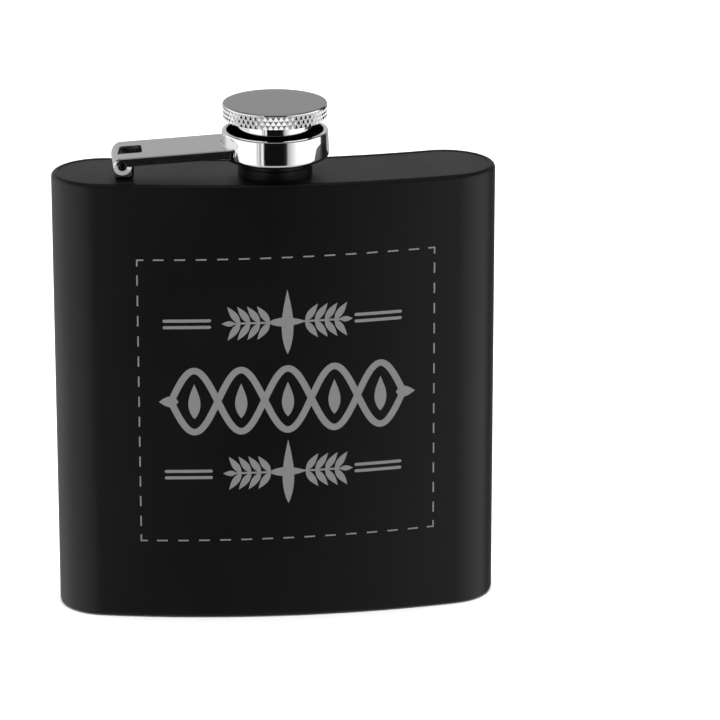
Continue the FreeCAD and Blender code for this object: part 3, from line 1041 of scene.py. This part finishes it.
def make_world():
    """Softboxes left and right, a pale sweep behind, a dark front and ceiling, a grey table."""
    world = bpy.data.worlds.new("studio")
    bpy.context.scene.world = world
    world.use_nodes = True
    sky = Nodes(world.node_tree)
    place = sky.node("ShaderNodeTexCoord").outputs["Generated"]
    x, y, z = sky.node("ShaderNodeSeparateXYZ", Vector=place).outputs
    turn = sky.math("ARCTAN2", x, sky.math("MULTIPLY", y, -1))

    around = sky.node("ShaderNodeValToRGB", Fac=sky.ramp(turn, -math.pi, math.pi))
    stops = around.color_ramp.elements
    while len(stops) < len(STUDIO):
        stops.new(0.5)
    peak = max(brightness for degrees, brightness, ceiling in STUDIO)
    for stop, (degrees, brightness, ceiling) in zip(stops, STUDIO):
        stop.position = (degrees + 180) / 360
        stop.color = (brightness / peak, ceiling, 0, 1)
    split = sky.node("ShaderNodeSeparateColor", Color=around.outputs[0])

    level = sky.math("MULTIPLY", split.outputs[0], peak)
    above = sky.math("SUBTRACT", z, split.outputs[1])
    layers = (above, CEILING), (z, ZENITH), (z, TABLE), (z, PIT)
    for height, (brightness, start, stop) in layers:
        share = sky.ramp(height, start, stop, kind="SMOOTHSTEP")
        keep = sky.math("MULTIPLY", level, sky.math("SUBTRACT", 1.0, share))
        level = sky.math("ADD", keep, sky.math("MULTIPLY", share, brightness))
    shade = sky.tree.nodes["Background"]
    shade.inputs["Color"].default_value = (1, 1, 1, 1)
    sky.tree.links.new(level, shade.inputs["Strength"])


LAMP_PLACE = Vector((100, 0, 3000)) * MM
LAMP_TARGET = Vector((0, 0, 50)) * MM
LAMP_SIZE = 3.2
LAMP_POWER = 200.0


def make_lamp():
    """A large disc overhead, unseen in reflections."""
    light = bpy.data.lights.new("overhead", "AREA")
    light.shape = "DISK"
    light.size = LAMP_SIZE
    light.energy = LAMP_POWER
    lamp = bpy.data.objects.new("overhead", light)
    lamp.location = LAMP_PLACE
    lamp.rotation_euler = (LAMP_TARGET - LAMP_PLACE).to_track_quat("-Z", "Y").to_euler()
    lamp.visible_glossy = False
    bpy.context.scene.collection.objects.link(lamp)


CAMERA_TARGET = Vector((18.1, 0, 54.45)) * MM
CAMERA_DISTANCE = 944.2 * MM
CAMERA_AZIMUTH = math.radians(-5.314)
CAMERA_ELEVATION = math.radians(18.275)
CAMERA_LENS = 218.6


def make_camera():
    """A long lens, a little to the left of the front and above it."""
    data = bpy.data.cameras.new("camera")
    data.sensor_width = 36
    data.lens = CAMERA_LENS
    data.clip_start = 0.01
    data.clip_end = 100
    camera = bpy.data.objects.new("camera", data)
    back = Vector((math.sin(CAMERA_AZIMUTH) * math.cos(CAMERA_ELEVATION),
                   -math.cos(CAMERA_AZIMUTH) * math.cos(CAMERA_ELEVATION),
                   math.sin(CAMERA_ELEVATION)))
    camera.location = CAMERA_TARGET + back * CAMERA_DISTANCE
    camera.rotation_euler = (-back).to_track_quat("-Z", "Y").to_euler()
    bpy.context.scene.collection.objects.link(camera)
    bpy.context.scene.camera = camera


# ------------------------------------------------------------ build

make_camera()
dress_nodes()
make_wall()
make_ring()
make_head()
make_arm()
make_weld()
make_pin()
make_lug()
make_border()
make_rules()
make_sprigs()
make_band()
make_floor()
make_world()
make_lamp()
bpy.context.scene.view_settings.view_transform = "Standard"
